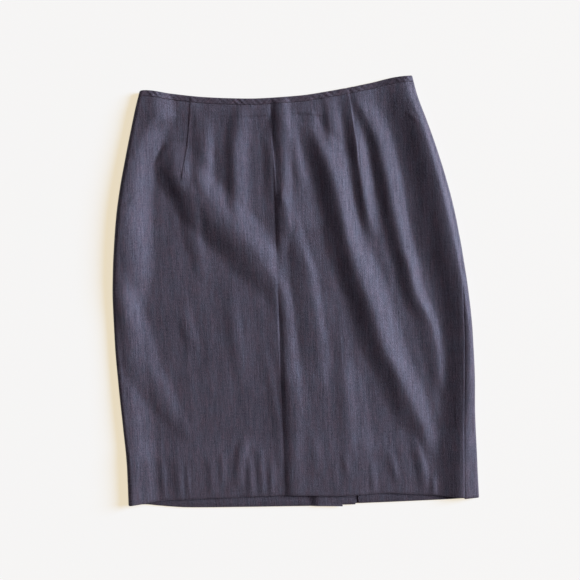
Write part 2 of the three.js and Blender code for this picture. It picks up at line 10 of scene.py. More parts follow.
import bpy
import numpy as np
from mathutils import Matrix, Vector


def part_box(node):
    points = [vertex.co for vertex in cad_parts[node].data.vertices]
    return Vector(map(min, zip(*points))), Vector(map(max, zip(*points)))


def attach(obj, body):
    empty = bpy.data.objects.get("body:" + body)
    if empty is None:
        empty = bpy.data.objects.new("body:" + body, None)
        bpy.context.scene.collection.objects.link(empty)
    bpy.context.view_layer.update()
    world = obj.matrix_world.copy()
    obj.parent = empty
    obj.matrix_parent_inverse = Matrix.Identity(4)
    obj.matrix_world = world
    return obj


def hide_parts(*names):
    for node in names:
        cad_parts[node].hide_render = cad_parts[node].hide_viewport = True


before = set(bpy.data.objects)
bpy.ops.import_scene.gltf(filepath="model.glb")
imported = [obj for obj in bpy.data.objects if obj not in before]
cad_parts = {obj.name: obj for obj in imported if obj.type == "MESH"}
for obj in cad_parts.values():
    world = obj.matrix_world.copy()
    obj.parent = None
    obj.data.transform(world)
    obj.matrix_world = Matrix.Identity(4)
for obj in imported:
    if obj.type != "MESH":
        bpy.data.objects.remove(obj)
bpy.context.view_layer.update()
bpy.ops.object.select_all(action="DESELECT")

MM = 0.001

# Cloth, layers and trims, as the pattern gives them. SHELL is how thick the drawn cloth is
CLOTH = 1.1
GAP = 0.35
SHELL = 0.9
HEM_Y = -300
WAIST_Y = 281.1
FRONT_LONG = 565
HEM_TURN = 48
BINDING_TALL = 9
BINDING_THICK = 2.4
BINDING_PROUD = 0.35
BINDING_GAP = 0.15
BACK_WAIST_DROP = 1.5
CREASE = -20
VENT_TALL = 150
UNDERLAP_WIDE = 30
FACING_WIDE = 48
VENT_STEP = 18
TAPE_WIDE = 24
TAPE_LONG = 165
TAPE_THICK = 1
SLIDER_WIDE = 5.6
SLIDER_LONG = 9
SLIDER_TALL = 2.4
PULL_WIDE = 4.4
PULL_LONG = 16
PULL_THICK = 1
PULL_FLOOR_GAP = 0.15
PULL_LIFT = PULL_FLOOR_GAP + PULL_THICK + GAP
PULL_RAMP = 9
ROLL_INSET = 4
LAPPED = 2 * CLOTH + 2 * GAP
VENT_TOP = HEM_Y + VENT_TALL
BELOW_HEM = HEM_Y - 20
ABOVE_WAIST = HEM_Y + FRONT_LONG + 100

# How softly the front settles over what lies under it, and how far up the hem is felt
VENT_RAMP = 42
ZIP_RAMP = 26
HEM_RAMP = 36
WAIST_RAMP = 44
HEM_FELT = 1.4 * HEM_TURN


def smooth_curve(at, values):
    """A smooth curve through points that never swings past them."""
    run = np.diff(at)
    slope = np.diff(values) / run
    tangent = np.zeros(len(at))
    tangent[0], tangent[-1] = slope[0], slope[-1]
    for i in range(1, len(at) - 1):
        if slope[i - 1] * slope[i] > 0:
            before, after = 2 * run[i] + run[i - 1], run[i] + 2 * run[i - 1]
            tangent[i] = (before + after) / (before / slope[i - 1] + after / slope[i])

    def value_at(x):
        i = np.clip(np.searchsorted(at, x) - 1, 0, len(run) - 1)
        t = np.clip((x - at[i]) / run[i], 0, 1)
        s = 1 - t
        near = (1 + 2 * t) * s * s * values[i] + t * s * s * run[i] * tangent[i]
        far = t * t * (3 - 2 * t) * values[i + 1] - t * t * s * run[i] * tangent[i + 1]
        return near + far

    return value_at


def curves(names, rows):
    """A table with named columns as smooth curves of its first column."""
    columns = np.array(sorted(rows), float).T
    named = zip(names.split()[1:], columns[1:])
    made = {name: smooth_curve(columns[0], column) for name, column in named}
    return SimpleNamespace(low=columns[0][0], high=columns[0][-1], **made)


# The side folds, as seen from above
SIDES = curves("y left right", [
    (304, -203, 182), (280, -210.2, 187.2), (240, -220.2, 200.2), (200, -229.5, 212.8),
    (160, -238.2, 223.8), (120, -245, 233), (80, -249.5, 240), (40, -252.8, 245.2),
    (0, -254.5, 249.8), (-60, -253.8, 254), (-120, -250.8, 255), (-180, -246.5, 253.5),
    (-240, -242.8, 254), (-300, -242.5, 254.8),
])
# Half the width of the front, from its pressed line to a side seam
FRONT_HALF = curves("y width", [
    (304, 206), (200, 239), (120, 255), (80, 259.5), (0, 262), (-60, 262), (-147, 259),
    (-200, 256.5), (-300, 253.5),
])
# The centre back seam, the waist's edge, and the hems
CENTRE_BACK = curves("y x", [(300, -3), (100, 2), (-300, 31)])
WAIST_EDGE = curves("x y", [
    (-206, 296.5), (-200, 297), (-160, 291), (-120, 285.2), (-80, 281.8), (-40, 280),
    (20, 281.8), (60, 286.2), (120, 295.5), (160, 303), (184, 304.5),
])
FRONT_HEM = curves("x y", [
    (-243, -291), (-222, -289), (-200, -286.5), (-180, -286), (-20, -285), (60, -288.5),
    (120, -287), (160, -290), (200, -293), (235, -297), (256, -297.5),
])
BACK_HEM = curves("x y", [
    (-243, -291), (-220, -290.4), (-200, -292.8), (-160, -296.8), (-80, -299.2),
    (20, -301.5), (62, -303.2),
])
BACK_LEFT_HEM = curves("x y", [(28, -299), (80, -299.8), (200, -299), (256, -297.6)])
# Where the zip starts and ends up the back, with its slider closed at the top
ZIP_TOP = float(WAIST_EDGE.y(-3)) - BACK_WAIST_DROP - BINDING_TALL - GAP
SLIDER_Y = (ZIP_TOP - GAP - SLIDER_LONG, ZIP_TOP - GAP)
TAPE_Y = (ZIP_TOP - TAPE_LONG, SLIDER_Y[0] - GAP)
PULL_Y = (SLIDER_Y[1] - 1 - PULL_LONG, SLIDER_Y[1] - 1)
# The darts' lines, and where they run on below the darts
DARTS = curves("y left right", [
    (304, -131.5, 88), (284, -133, 90), (260, -135, 93), (240, -138, 96), (220, -141, 98.5),
    (200, -144, 100), (175, -149, 100.8), (150, -151, 101), (-300, -151, 101),
])


def fold(crest, foot, rows, shelf=False):
    """A fold along a crest x, that falls to nothing over its left and right width. A crest or
    foot of 1 is sharp and of 2 is round. A shelf stays high all the way to the left."""
    line = curves("y x height left right", rows)
    return SimpleNamespace(crest=crest, foot=foot, line=line, shelf=shelf)


# The large folds, which the solids have too. Rows are y, the crest's x, its height, and how wide
# the flanks to its left and right are
BIG_DIAGONAL = [
    (262, 31, 0, 12, 14), (245, 33, 1.2, 16, 16), (228, 39, 3.3, 22, 26), (210, 47, 6, 29, 36),
    (185, 57, 7.5, 33, 38), (160, 65, 8, 34, 30), (135, 70, 8, 34, 26), (110, 75, 8, 33, 24),
    (85, 79, 8, 35, 26), (60, 85, 8.1, 38, 30), (35, 92.5, 8.2, 37, 36), (10, 100, 8.2, 36, 38),
    (-15, 108.5, 8.1, 35, 37), (-40, 115.5, 7.9, 36, 37), (-65, 122.5, 7.4, 37, 36),
    (-90, 131, 7, 36, 34), (-120, 145.5, 6.3, 37, 32), (-150, 158, 5.6, 39, 31),
    (-180, 171, 4.3, 37, 26), (-210, 183, 2.2, 28, 20), (-235, 188, 0, 18, 12),
]
THIRD_DIAGONAL = [
    (292, 98, 0.4, 12, 24), (270, 104, 2, 15, 28), (255, 111, 3.2, 17, 27),
    (235, 121, 4.1, 20, 26), (210, 130.5, 4.9, 21, 23), (185, 135.5, 5.1, 22, 24),
    (160, 141, 5.1, 22, 24), (135, 145, 5.1, 22, 22), (110, 149, 5.1, 22, 21),
    (85, 153.5, 5.1, 22, 21), (60, 158.5, 5, 23, 20), (35, 166.5, 4.8, 24, 18),
    (10, 171.5, 4.6, 24, 17), (-15, 179, 4.3, 24, 17), (-40, 191.5, 3.4, 26, 14),
    (-65, 198, 2.5, 30, 13), (-90, 202, 2.2, 24, 13), (-120, 203, 1.5, 18, 12),
    (-145, 203, 0, 14, 10),
]
RIGHT_ROLL = [
    (310, 171, 2, 30, 16), (292, 173, 4, 42, 16), (260, 182.5, 7, 46, 17),
    (235, 192, 8.6, 47, 17), (210, 199.5, 9.4, 48, 16), (185, 206, 9.9, 51, 16),
    (160, 212, 10.2, 52, 16), (135, 218, 10.5, 54, 16), (110, 223, 10.8, 58, 16),
    (85, 227.5, 10.8, 59, 17), (60, 232, 10.5, 56, 17), (35, 236, 10.1, 51, 17),
    (10, 240, 9.5, 47, 17), (-15, 243.5, 8.9, 44, 17), (-40, 246, 8.4, 42, 18),
    (-65, 247.5, 8.2, 42, 18), (-90, 247.5, 8.2, 42, 19), (-120, 246, 8.2, 43, 22),
    (-150, 244, 8.1, 44, 26), (-180, 240.5, 7.9, 44, 30), (-210, 237, 7.5, 43, 33),
    (-240, 233, 7, 41, 36), (-300, 230, 5.8, 38, 36),
]
LEFT_SHELF = [
    (310, -194, 2.4, 1, 26), (285, -188, 5, 1, 32), (262, -188, 7.8, 1, 35),
    (235, -207, 9, 1, 39), (210, -219, 9.6, 1, 42), (185, -228, 10, 1, 44),
    (160, -232, 10.2, 1, 45), (135, -237, 10.2, 1, 46), (110, -238, 10, 1, 46),
    (85, -237, 9.8, 1, 46), (60, -237, 9.4, 1, 46), (35, -239, 8.6, 1, 46), (10, -246, 7, 1, 44),
    (-60, -254, 6, 1, 44),
    (-110, -254, 6.4, 1, 48), (-150, -252, 7, 1, 52), (-200, -249, 7.2, 1, 52),
    (-300, -246, 6.8, 1, 52),
]
LEFT_SWELL = [
    (45, -246, 0, 12, 18), (10, -242, 1.8, 16, 24), (-15, -235, 2.8, 20, 26),
    (-40, -226, 3.5, 26, 27), (-65, -222, 3.7, 29, 28), (-90, -217, 3.4, 30, 29),
    (-120, -205, 2.7, 29, 33), (-150, -188, 1.8, 26, 27), (-180, -168, 0.9, 20, 20),
    (-205, -152, 0, 14, 20),
]
LONG_DRAG = [
    (222, -161, 0, 14, 22), (208, -161, 2.6, 20, 34), (190, -160, 4.9, 30, 42),
    (165, -146, 6.5, 42, 50), (140, -122, 7, 50, 52), (120, -106, 7.1, 56, 54),
    (100, -88, 7.1, 58, 54), (80, -70, 7, 56, 46), (60, -53, 6.3, 54, 40),
    (40, -41, 4.9, 52, 31), (20, -28, 3.2, 42, 24), (0, -18, 1.6, 30, 20),
    (-22, -10, 0.7, 18, 14), (-50, -5, 0, 12, 12),
]
LEFT_HOLLOW = [
    (180, -166, 0, 12, 14), (150, -150, 1, 18, 18), (110, -139, 2, 20, 16),
    (80, -135, 1.7, 18, 14), (50, -130, 0.8, 16, 14), (20, -124, 0, 14, 14),
]
LEFT_DART_EASE = [
    (262, -120, 0, 14, 14), (235, -118, 1.9, 18, 18), (200, -119, 3.2, 20, 16),
    (170, -120, 2.9, 18, 16), (140, -114, 0, 12, 16),
]
LEFT_MIDDLE = [
    (275, -62, 0, 14, 10), (245, -68, 2.1, 18, 20), (200, -74, 3.5, 20, 22),
    (150, -74, 3.4, 19, 24), (115, -70, 1.5, 16, 22), (95, -66, 0, 14, 20),
]
PRESSED_LINE = [
    (285, -5, 0, 15, 12), (268, -5, 2.3, 15, 14), (235, -5, 2.9, 15, 15),
    (200, -6, 3.1, 14, 16), (165, -7, 3, 13, 15), (130, -8, 2.8, 12, 15),
    (100, -9, 2.6, 11, 16), (75, -12, 1.8, 8, 14), (58, -13, 0.8, 7, 12),
    (20, -13, 0.5, 7, 14), (-10, -12, 1.2, 8, 14), (-60, -10, 2.2, 10, 17),
    (-120, -9, 2.3, 11, 20), (-160, -8, 1.9, 12, 20), (-288, -8, 1.6, 12, 18),
]
BELLY = [
    (140, -3, 0, 12, 14), (110, 3, 1.1, 15, 15), (85, 8, 1.8, 18, 15), (60, 14, 2.1, 21, 15),
    (35, 22, 2.4, 27, 16), (10, 25, 2.4, 29, 15), (-15, 28, 2.2, 30, 16), (-40, 30, 2, 30, 16),
    (-65, 34, 1.8, 30, 17), (-90, 36, 1.5, 28, 17), (-120, 34, 0.9, 24, 18),
    (-150, 33, 0, 20, 18),
]
DART_RIDGE = [
    (285, 94, 0, 12, 12), (262, 94, 1.2, 15, 15), (230, 98, 2.9, 18, 18),
    (200, 101, 4.1, 18, 19), (170, 103, 4.8, 19, 19), (140, 106.5, 4.5, 18, 17),
    (115, 110.5, 3.5, 17, 16), (95, 114, 1.9, 14, 14), (72, 119, 0, 12, 14),
]
# The darts' stitched lines: the cloth steps down from the middle's side
LEFT_DART_LINE = [
    (290, -132.5, 0.5, 1.2, 20), (240, -138, 0.6, 1.2, 20), (200, -144, 0.55, 1.2, 18),
    (186, -147, 0.3, 1.2, 14), (174, -149.5, 0.65, 1.3, 12), (164, -150.5, 0, 1.3, 10),
]
RIGHT_DART_LINE = [
    (290, 89.5, 0.45, 20, 1.2), (240, 96, 0.7, 18, 1.2), (200, 100, 0.7, 16, 1.2),
    (183, 100.6, 0.4, 12, 1.4), (172, 100.8, 0, 10, 1.4),
]
FOLDS = [
    fold(1.5, 2, BIG_DIAGONAL), fold(1.6, 2, THIRD_DIAGONAL), fold(1.5, 2, RIGHT_ROLL),
    fold(2, 2, LEFT_SHELF, shelf=True), fold(2, 2, LEFT_SWELL), fold(1.9, 2, LONG_DRAG),
    fold(2, 2, LEFT_HOLLOW), fold(2, 2, LEFT_DART_EASE), fold(1.7, 2, LEFT_MIDDLE),
    fold(2, 1.1, PRESSED_LINE), fold(2, 2, BELLY), fold(1.4, 2, DART_RIDGE),
    fold(2, 2, LEFT_DART_LINE), fold(2, 2, RIGHT_DART_LINE),
]
# How much of a flank the crest is rounded over
CREST_ROUND = 0.05
SMALL_CREST_ROUND = 0.15

# Small folds: the x and y of each start and end, how far the middle bows to the right, how high
# it is, and how wide its left and right flanks are
SMALL_FOLDS = [
    # beside the pressed line, above and below
    (-22, 226, -19, 134, 1, 1.5, 17, 3),
    (-24, 34, -22, -122, 0, 0.9, 16, 5),
    (-46, -60, -26, -236, 4, 0.8, 11, 9),
    (4, 250, 20, 146, 0, 1.5, 12, 12),
    (-7, 152, -5, 126, -4, 0.9, 5, 6),
    # left of the middle
    (-167, 222, -186, 184, -2, 1.3, 7, 14),
    (-86, 22, -75, -128, -2, 1.2, 16, 13),
    (-95, 245, -92, 150, 0, 0.5, 10, 9),
    (-232, 131, -213, 149, 0, 1.0, 5, 14),
    (-160, -10, -140, -80, 0, 0.9, 16, 16),
    # the hip, right of the middle
    (61, 283, 69, 200, -1, 2.2, 13, 18),
    (36, 262, 41, 236, 0, 0.7, 9, 9),
    (173, 252, 187, 240, 0, 0.8, 7, 4),
    (66, -30, 74, -244, 2, 0.9, 16, 16),
    (2, -96, -1, -218, 3, 0.5, 9, 16),
    # puckers of the turned-up hem
    (-193, -222, -191, -292, 0, 0.9, 9, 7),
    (-171, -226, -169, -292, 0, 1.1, 9, 10),
    (-158.5, -234, -158, -286, 0, 0.8, 5, 7),
    (-125, -226, -123, -284, 0, 0.7, 8, 8),
    (-108, -222, -107.5, -270, 0, 0.8, 6, 7),
    (-74, -198, -86, -272, -3, 1.5, 11, 12),
    (-69.5, -222, -68, -289, 0, 1.1, 8, 7),
    (-54, -214, -52, -289, 0, 1.3, 8, 9),
    (-38, -232, -39, -289, 0, 1.0, 7, 7),
    (66, -224, 69, -262, 0, 0.8, 8, 8),
    (24, -196, 30, -262, 0, 0.7, 12, 12),
    (104, -238, 106, -290, 0, 0.7, 8, 8),
    (130, -226, 139, -272, 0, 1.0, 10, 8),
    (162, -206, 178, -290, 5, 1.5, 13, 9),
    (191, -262, 190, -296, 0, 1.1, 8, 7),
    (-212, -220, -214, -290, 0, 0.6, 9, 8),
    (52, -232, 50, -292, 0, 0.5, 9, 9),
]
# Soft waves all over, as the amplitude, and the wavelengths across and along, of each
WAVES = [(0.12, 27, 210), (0.11, 43, 150), (0.05, 17, 120)]

# The waist facing's edge shows through as a faint step across the front
FACING_EDGES = [
    curves("x y step", [(-130, 240.5, 0.8), (-108, 248, 0.6), (-85, 254, 0.3), (-22, 253.5, 0.4)]),
    curves("x y step", [(8, 255.5, 0.55), (25, 254.5, 0.65), (52, 250.5, 0.5)]),
]
FACING_RAMP = 2.6
FACING_FADE = 262
FACING_FADE_RAMP = 14

# Soft hollows in the back's outer face, under the front's large folds, so that it doesn't lie
# dead flat; rows as for small folds
BACK_HOLLOWS = [
    (56, 180, 150, -140, 0, 1.8, 28, 28),
    (-148, 160, -52, 66, 6, 1.5, 26, 26),
    (196, 200, 236, -150, 8, 1.9, 22, 24),
    (-236, -20, -184, -160, 2, 1.2, 22, 24),
]

# The side seams' grooves
SEAM_DEPTH = 0.34
SEAM_WIDE = 1.1
SEAM_CLEAR = 0.1


def mix(a, b, t):
    return a + (b - a) * t


def smooth_step(t):
    s = np.clip(t, 0, 1)
    return s * s * (3 - 2 * s)


def plateau(value, low, high, ramp):
    """1 between two values, falling smoothly to 0 over a ramp outside them."""
    outside = np.maximum(np.maximum(low - value, value - high), 0)
    return 1 - smooth_step(outside / ramp)


def softened(share, by):
    """A share of a flank with its sharpest point at the crest rounded off."""
    return (np.sqrt(share**2 + by**2) - by) / (math.sqrt(1 + by**2) - by)


def fold_height(one, x, y):
    """How high a large fold stands at x and y."""
    line = one.line
    offset = x - line.x(y)
    width = np.where(offset < 0, line.left(y), line.right(y))
    share = softened(np.minimum(1, np.abs(offset) / width), CREST_ROUND)
    foot = np.where(offset < 0, one.foot, 2)
    height = line.height(y) * (1 - share**one.crest) ** foot
    if one.shelf:
        height = np.where(offset < 0, line.height(y), height)
    return np.where((y < line.low) | (y > line.high), 0, height)


def small_fold_height(row, x, y):
    """How high a small fold stands: it swells from one end and dies away to the other."""
    x0, y0, x1, y1, bow, height, left, right = row
    t = (y - y0) / (y1 - y0)
    inside = (t > 0) & (t < 1)
    along = np.sin(math.pi * np.clip(t, 0, 1)) ** 0.8
    offset = x - mix(x0, x1, t) - bow * 4 * t * (1 - t)
    share = np.minimum(1, np.abs(offset) / np.where(offset < 0, left, right))
    flank = (1 - softened(share, SMALL_CREST_ROUND) ** 1.7) ** 2
    return np.where(inside, height * along * flank, 0)


def waves(x, y):
    """Low, uneven waves that run up and down the cloth."""
    height = 0
    for k, (amplitude, across, along) in enumerate(WAVES):
        drift = 1.6 * np.sin(y / along * 2 + k) + 0.8 * np.sin(y / 31 + 2 * k)
        strength = 0.6 + 0.4 * np.sin(y / along * 5 + 3 * k) * np.sin(x / 71 + k)
        height = height + amplitude * strength * (1 + np.sin(2 * math.pi * x / across + drift))
    return height


def facing_imprint(x, y):
    """The step up onto the facing, which fades again towards the waist."""
    fade = plateau(y, 0, FACING_FADE, FACING_FADE_RAMP)
    height = 0
    for edge in FACING_EDGES:
        here = plateau(x, edge.low + 4, edge.high - 4, 6)
        height = height + edge.step(x) * here * smooth_step((y - edge.y(x)) / FACING_RAMP) * fade
    return height


def pull_lift(x, y, ramp):
    """How far the back is lifted off the floor over the zip's pull tab."""
    centre = CENTRE_BACK.x(y)
    half = PULL_WIDE / 2 + 1
    across = plateau(x, centre - half, centre + half, ramp)
    return PULL_LIFT * across * plateau(y, PULL_Y[0] - 1, ZIP_TOP, ramp)


def back_relief(x, y):
    return sum(small_fold_height(row, x, y) for row in BACK_HOLLOWS)


def front_rest(x, y):
    """The front's outer face with no folds in it: the layers below set how high it lies."""
    centre = CENTRE_BACK.x(y)
    vent = plateau(x, centre - VENT_STEP, centre + FACING_WIDE, VENT_RAMP)
    vent = vent * plateau(y, BELOW_HEM, VENT_TOP + VENT_STEP, VENT_RAMP)
    zip_under = plateau(x, centre - TAPE_WIDE / 2, centre + TAPE_WIDE / 2, ZIP_RAMP)
    zip_under = zip_under * plateau(y, TAPE_Y[0], ZIP_TOP, ZIP_RAMP)
    hem = plateau(y, BELOW_HEM, HEM_Y + HEM_FELT, HEM_RAMP)
    back = CLOTH * (1 + hem * (1 - vent)) + vent * LAPPED + zip_under * (TAPE_THICK + GAP)
    layers = back + pull_lift(x, y, ZIP_RAMP) + GAP + CLOTH * (1 + hem)
    bound = 2 * BINDING_THICK + GAP - BINDING_PROUD
    waist = plateau(y, WAIST_EDGE.y(x) - BINDING_TALL - 1, ABOVE_WAIST, WAIST_RAMP)
    return np.maximum(layers, mix(2 * CLOTH + GAP, bound, waist))


def front_top(x, y):
    height = front_rest(x, y) + waves(x, y) + facing_imprint(x, y)
    height = height + sum(fold_height(one, x, y) for one in FOLDS)
    return height + sum(small_fold_height(row, x, y) for row in SMALL_FOLDS)


def side_fold(side, y, proud=0):
    """Where a side fold is at a height y, how big its roll is, and how far it lies from the
    pressed line."""
    edge = np.where(side < 0, SIDES.left(y), SIDES.right(y))
    roll = (front_top(edge - side * ROLL_INSET, y) + proud) / 2
    return edge, roll, side * (edge - CREASE)


def tube(across, y, proud=0):
    """The outer face of the flattened tube. Across is the way round from the pressed line,
    positive to the right; past a side fold it runs back underneath."""
    side = np.where(across < 0, -1.0, 1.0)
    edge, roll, reach = side_fold(side, y, proud)
    beyond = np.abs(across) - reach
    top, under = beyond <= -roll, beyond >= roll
    turn = np.clip(beyond / roll, -1, 1) * math.pi / 2
    x = edge - side * roll * (1 - np.cos(turn))
    x = np.where(top, CREASE + across, np.where(under, edge - side * beyond, x))
    below = pull_lift(x, y, PULL_RAMP) + back_relief(x, y)
    z = np.where(top, front_top(x, y) + proud, np.where(under, below, roll * (1 - np.sin(turn))))
    return np.stack([x, y, z], -1)


def across_under(side, x, y):
    """The way round to a place on the underside, by the left side fold, -1, or the right, 1."""
    edge, _, reach = side_fold(side, y)
    return side * (reach + side * (edge - x))


def normal_at(place, across, y, step=0.4):
    along = place(across + step, y) - place(across - step, y)
    up = place(across, y + step) - place(across, y - step)
    out = np.cross(along, up)
    return out / np.linalg.norm(out, axis=-1, keepdims=True)


def under_share(point):
    """1 on the underside, 0 on the top side."""
    return 1 - smooth_step(point[..., 2] - PULL_LIFT)


def binding_top(point):
    return WAIST_EDGE.y(point[..., 0]) - BACK_WAIST_DROP * under_share(point)


def panel_top(point):
    return binding_top(point) - BINDING_TALL - BINDING_GAP


def stops(knots, steps):
    """Columns between knots that move with the height y: steps of them from each knot to the
    next. Gives the way round of column i at y."""
    first = np.repeat(np.arange(len(steps)), steps)
    share = np.concatenate([np.arange(n) / n for n in steps])
    first, share = np.append(first, len(steps) - 1), np.append(share, 1.0)

    def across_at(i, y):
        at = np.stack([np.broadcast_to(k, y.shape) for k in knots(y)])
        low = np.take_along_axis(at, first[i][None], 0)[0]
        high = np.take_along_axis(at, first[i][None] + 1, 0)[0]
        return mix(low, high, share[i])

    return across_at, len(share)


def rows_between(knots, steps):
    """Shares of the way from hem to waist, in equal steps from each knot to the next."""
    shares = [np.linspace(a, b, n, endpoint=False) for a, b, n in zip(knots, knots[1:], steps)]
    return np.append(np.concatenate(shares), knots[-1])


# Every mesh is moved from the pattern's frame to the part's, where the zip's pull tab shows it
pull_low, pull_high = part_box("zip_pull")
SHIFT = np.array([
    (pull_low.x + pull_high.x) / 2 / MM - float(CENTRE_BACK.x(PULL_Y[1])),
    pull_high.y / MM - PULL_Y[1],
    0,
])


def in_metres(points):
    return (points + SHIFT) * MM


def select_only(piece):
    bpy.ops.object.select_all(action="DESELECT")
    piece.select_set(True)
    bpy.context.view_layer.objects.active = piece


def points_of(piece):
    flat = np.empty(len(piece.data.vertices) * 3)
    piece.data.vertices.foreach_get("co", flat)
    return flat.reshape(-1, 3)


def grid_piece(name, wide, tall):
    """A flat grid of wide by tall cells, with the column and row of each vertex."""
    bpy.ops.mesh.primitive_grid_add(x_subdivisions=wide, y_subdivisions=tall, size=1)
    piece = bpy.context.object
    piece.name = piece.data.name = name
    share = points_of(piece)[:, :2] + 0.5
    column = np.rint(share[:, 0] * wide).astype(int)
    row = np.rint(share[:, 1] * tall).astype(int)
    return piece, column, row


def set_points(piece, points, cloth):
    """Moves the vertices, and keeps each one's place on the flat cloth for the weave."""
    piece.data.vertices.foreach_set("co", in_metres(points).ravel())
    flat = np.zeros((len(points), 3))
    flat[:, :2] = cloth
    threads = piece.data.attributes.new("cloth", "FLOAT_VECTOR", "POINT")
    threads.data.foreach_set("vector", flat.ravel())
    piece.data.update()


def modify(piece, kind, **settings):
    select_only(piece)
    modifier = piece.modifiers.new(kind.lower(), kind)
    for key, value in settings.items():
        setattr(modifier, key, value)
    bpy.ops.object.modifier_apply(modifier=modifier.name)


def move_to(piece, *middle):
    """Moves a piece in its mesh, so its object stays at the origin."""
    select_only(piece)
    piece.location = in_metres(np.array(middle)).tolist()
    bpy.ops.object.transform_apply()


def thicken(piece, thick):
    """Gives a sheet its thickness, inwards from its outer face."""
    modify(piece, "SOLIDIFY", thickness=thick * MM, offset=-1, use_even_offset=True,
           use_quality_normals=True)


def edit_faces(piece, chosen):
    """Opens a piece in edit mode with only the chosen faces selected."""
    select_only(piece)
    mesh = piece.data
    mesh.vertices.foreach_set("select", np.zeros(len(mesh.vertices), bool))
    mesh.edges.foreach_set("select", np.zeros(len(mesh.edges), bool))
    mesh.polygons.foreach_set("select", chosen)
    bpy.context.tool_settings.mesh_select_mode = (False, False, True)
    bpy.ops.object.mode_set(mode="EDIT")


def delete_faces(piece, gone):
    edit_faces(piece, gone)
    bpy.ops.mesh.delete(type="FACE")
    bpy.ops.object.mode_set(mode="OBJECT")


# Rows of the turned-up hem: half a circle round the fold, then straight up inside
TURN_ARC = math.pi * CLOTH
TURN_WAYS = np.concatenate([
    np.linspace(TURN_ARC + HEM_TURN, TURN_ARC, 6, endpoint=False),
    np.linspace(TURN_ARC, 0, 5, endpoint=False),
])


def cloth_piece(name, columns, count, shares, place, hem, side, keep=None):
    """A panel with its hem turned up. Its columns are ways round the tube and its rows shares
    of the way from the hem to the waist. Its threads run along the pressed line if side is 0,
    and along the centre back on a side of -1 or 1. Keep says which faces stay, by their column,
    y and way round the hem."""
    turned = np.concatenate([TURN_WAYS, np.zeros(len(shares))])
    share = np.concatenate([np.zeros(len(TURN_WAYS)), shares])
    piece, i, j = grid_piece(name, count - 1, len(share) - 1)
    y = mix(HEM_Y, WAIST_Y, share[j])
    angle = np.minimum(turned[j] / CLOTH, math.pi)
    inside = np.maximum(turned[j] - TURN_ARC, 0)
    up = CLOTH * (1 - np.sin(angle)) + inside
    for _ in range(4):
        point = place(columns(i, y), y)
        y = mix(hem(point) + up, panel_top(point), share[j])
    across = columns(i, y)
    from_seam = np.abs(across) - FRONT_HALF.width(y)
    depth = CLOTH * (1 - np.cos(angle)) + SEAM_DEPTH * np.exp(-((from_seam / SEAM_WIDE) ** 2))
    points = place(across, y) - normal_at(place, across, y) * depth[:, None]
    from_grain = across - across_under(side, CENTRE_BACK.x(y), y)
    flat = np.stack([from_grain, share[j] * FRONT_LONG - turned[j]], -1)
    set_points(piece, points, flat)
    if keep is not None:
        corners = np.array([face.vertices[:] for face in piece.data.polygons])
        kept = keep(i[corners].max(1), y[corners].mean(1), turned[j][corners].max(1))
        delete_faces(piece, ~kept)
    thicken(piece, SHELL)
    return piece


def front_hem(point):
    return mix(FRONT_HEM.y(point[..., 0]), BACK_HEM.y(point[..., 0]), under_share(point))


def right_back_hem(point):
    return BACK_HEM.y(point[..., 0])


def left_back_hem(point):
    """The facing hangs a little lower than the panel behind it."""
    x, _, z = np.moveaxis(point, -1, 0)
    on_facing = plateau(x, *FACING_SPAN, 3) * smooth_step(z - TURN_ROLL)
    return BACK_LEFT_HEM.y(x) - FACING_DROP * on_facing


def front_cloth():
    """The front, from the left side seam underneath to the right side seam. Columns run
    closer along the side folds, the darts, the pressed line and the seams."""
    def knots(y):
        half = FRONT_HALF.width(y)
        _, left_roll, left_reach = side_fold(-1, y)
        _, right_roll, right_reach = side_fold(1, y)
        left_dart, right_dart = DARTS.left(y) - CREASE, DARTS.right(y) - CREASE
        return [
            -half, 4 - half, -left_reach - left_roll, left_roll - left_reach,
            left_dart - 2, left_dart + 2, -4, 2, right_dart - 2, right_dart + 2,
            np.minimum(half - 8, right_reach - right_roll), half,
        ]

    columns, count = stops(knots, [4, 5, 8, 40, 5, 46, 8, 46, 5, 52, 12])
    shares = rows_between([0, 0.93, 0.985, 1], [172, 22, 4])
    return cloth_piece("front_cloth", columns, count, shares, tube, front_hem, 0)


BACK_ROWS = rows_between([0, 1], [150])
# At the vent the hem is cut off just inside its fold
HEM_CUT = 2


def right_back_place(across, y):
    """The underside, stepping up over the left half's facing below the vent's top."""
    point = tube(across, y)
    step = smooth_step((point[..., 0] - CENTRE_BACK.x(y) + VENT_STEP) / (VENT_STEP - 3))
    lift = LAPPED * step * plateau(y, BELOW_HEM, VENT_TOP, VENT_STEP)
    point[..., 2] += lift
    return point


def back_right_cloth():
    """The back, wearer's right half, with the underlap of the vent. Its columns go from the
    underlap's edge to the left side seam."""
    def knots(y):
        centre = CENTRE_BACK.x(y) - GAP / 2
        seam = -FRONT_HALF.width(y) - SEAM_CLEAR
        stepped_at = (centre + UNDERLAP_WIDE, centre, centre - VENT_STEP)
        return [*(across_under(-1, x, y) for x in stepped_at), seam - 4, seam]

    underlap, stepped = 10, 8
    columns, count = stops(knots, [underlap, stepped, 66, 4])

    def keep(column, y, turned):
        lap = (column > underlap) | (y < VENT_TOP)
        return lap & ((column > underlap + stepped) | (turned < HEM_CUT))

    return cloth_piece("back_right_cloth", columns, count, BACK_ROWS, right_back_place,
                       right_back_hem, -1, keep)


# The facing is folded back on itself at the vent's edge, and the hem ends short of it
TURN_ROLL = CLOTH + GAP / 2
TURN_WAY = math.pi * TURN_ROLL
FACING_DROP = 1.5
FACING_SPAN = (28, 82)
HEM_SLOT = 5


